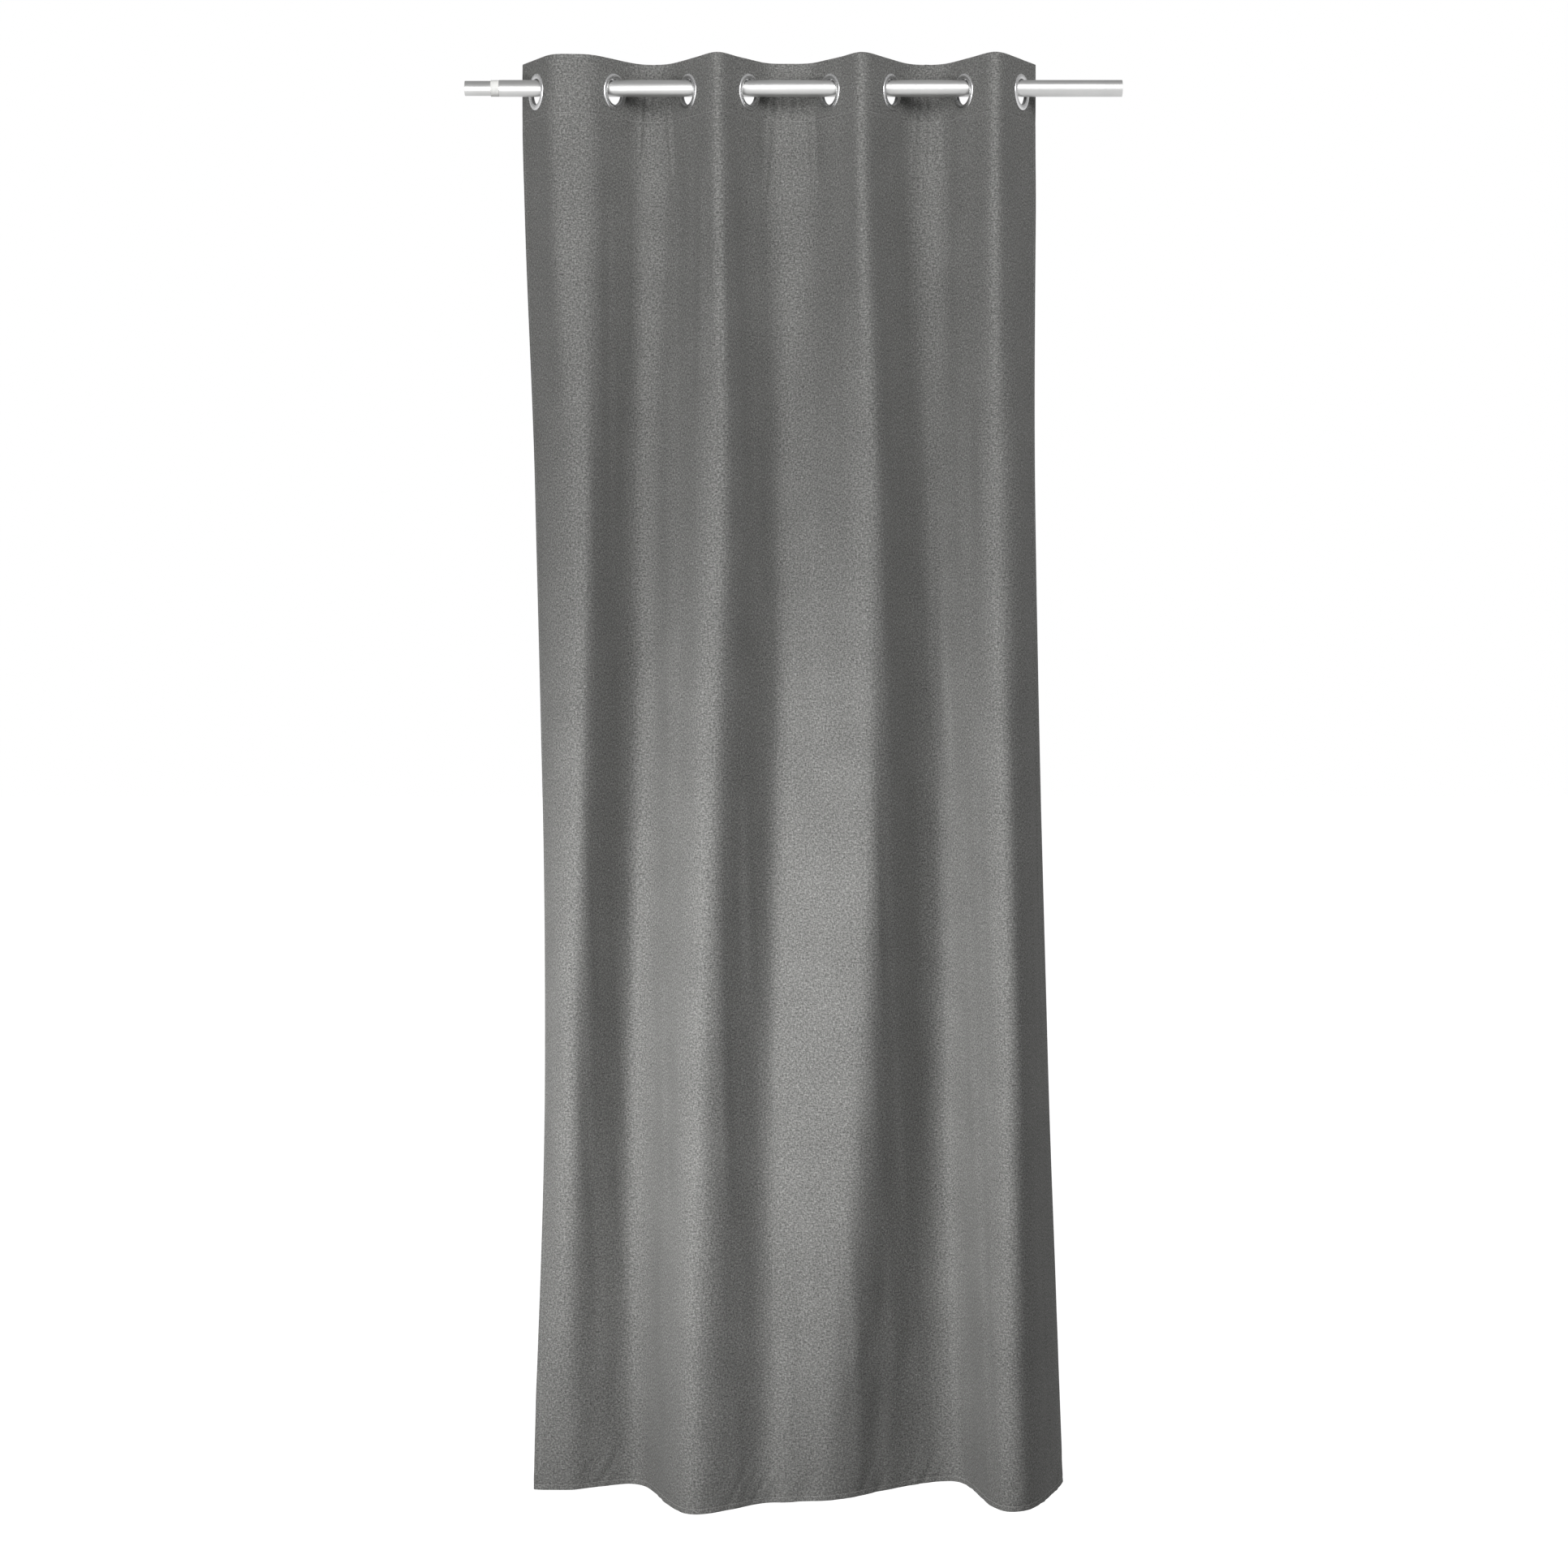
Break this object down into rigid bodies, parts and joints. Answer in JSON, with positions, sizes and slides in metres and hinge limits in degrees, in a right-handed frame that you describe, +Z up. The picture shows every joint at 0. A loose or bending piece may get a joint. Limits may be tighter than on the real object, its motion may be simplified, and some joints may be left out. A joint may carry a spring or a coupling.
{
  "type": "eyelet curtain panel on pole",
  "caption": "Grey woven room curtain with a stiffened eyelet header, hanging in soft folds from a satin telescopic pole.",
  "frame": {"origin": "on the pole's axis, above the middle of the panel", "axes": "+X along the pole, to the right as seen from the room; -Y to the room; +Z up"},
  "size_m": [1.108, 0.2236, 2.45],
  "materials": {
    "grey_cloth": "matte heathered grey plain weave",
    "stiffener_tape": "stiff white non-woven tape",
    "eyelet_metal": "satin silver",
    "satin_metal": "satin nickel",
    "pale_plastic": "pale moulded plastic"
  },
  "bodies": {
    "pole": {"pole_outer_tube": "satin_metal", "pole_collar": "pale_plastic"},
    "pole_inner": {"pole_inner_tube": "satin_metal", "pole_inner_bush": "pale_plastic"},
    "eyelet_1": {"eyelet_front_1": "eyelet_metal", "eyelet_back_1": "eyelet_metal", "curtain_fabric": "grey_cloth", "header_facing": "grey_cloth", "header_stiffener": "stiffener_tape", "bottom_hem": "grey_cloth", "side_hem_left": "grey_cloth", "side_hem_right": "grey_cloth"},
    "eyelet_2": {"eyelet_front_2": "eyelet_metal", "eyelet_back_2": "eyelet_metal"},
    "eyelet_3": {"eyelet_front_3": "eyelet_metal", "eyelet_back_3": "eyelet_metal"},
    "eyelet_4": {"eyelet_front_4": "eyelet_metal", "eyelet_back_4": "eyelet_metal"},
    "eyelet_5": {"eyelet_front_5": "eyelet_metal", "eyelet_back_5": "eyelet_metal"},
    "eyelet_6": {"eyelet_front_6": "eyelet_metal", "eyelet_back_6": "eyelet_metal"},
    "eyelet_7": {"eyelet_front_7": "eyelet_metal", "eyelet_back_7": "eyelet_metal"},
    "eyelet_8": {"eyelet_front_8": "eyelet_metal", "eyelet_back_8": "eyelet_metal"}
  },
  "joints": [
    {"name": "pole_extend", "type": "slide", "parent": "pole", "child": "pole_inner", "axis": [-1, 0, 0], "range_m": [0, 0.25]},
    {"name": "panel_slide", "type": "slide", "parent": "pole", "child": "eyelet_1", "axis": [1, 0, 0], "range_m": [-0.035, 0.14]},
    {"name": "draw", "type": "slide", "parent": "eyelet_1", "child": "eyelet_8", "axis": [-1, 0, 0], "range_m": [0, 0.448], "deforming": ["curtain_fabric", "header_facing", "header_stiffener", "bottom_hem", "side_hem_left", "side_hem_right"]},
    {"name": "draw_2", "type": "slide", "parent": "eyelet_1", "child": "eyelet_2", "axis": [-1, 0, 0], "range_m": [0, 0.0714]},
    {"name": "draw_3", "type": "slide", "parent": "eyelet_1", "child": "eyelet_3", "axis": [-1, 0, 0], "range_m": [0, 0.1407]},
    {"name": "draw_4", "type": "slide", "parent": "eyelet_1", "child": "eyelet_4", "axis": [-1, 0, 0], "range_m": [0, 0.1962]},
    {"name": "draw_5", "type": "slide", "parent": "eyelet_1", "child": "eyelet_5", "axis": [-1, 0, 0], "range_m": [0, 0.272]},
    {"name": "draw_6", "type": "slide", "parent": "eyelet_1", "child": "eyelet_6", "axis": [-1, 0, 0], "range_m": [0, 0.3281]},
    {"name": "draw_7", "type": "slide", "parent": "eyelet_1", "child": "eyelet_7", "axis": [-1, 0, 0], "range_m": [0, 0.3963]}
  ],
  "couplings": [
    {"joint": "draw_2", "follows": "draw", "ratio": 0.15828},
    {"joint": "draw_3", "follows": "draw", "ratio": 0.31288},
    {"joint": "draw_4", "follows": "draw", "ratio": 0.43681},
    {"joint": "draw_5", "follows": "draw", "ratio": 0.60613},
    {"joint": "draw_6", "follows": "draw", "ratio": 0.73129},
    {"joint": "draw_7", "follows": "draw", "ratio": 0.88344}
  ]
}
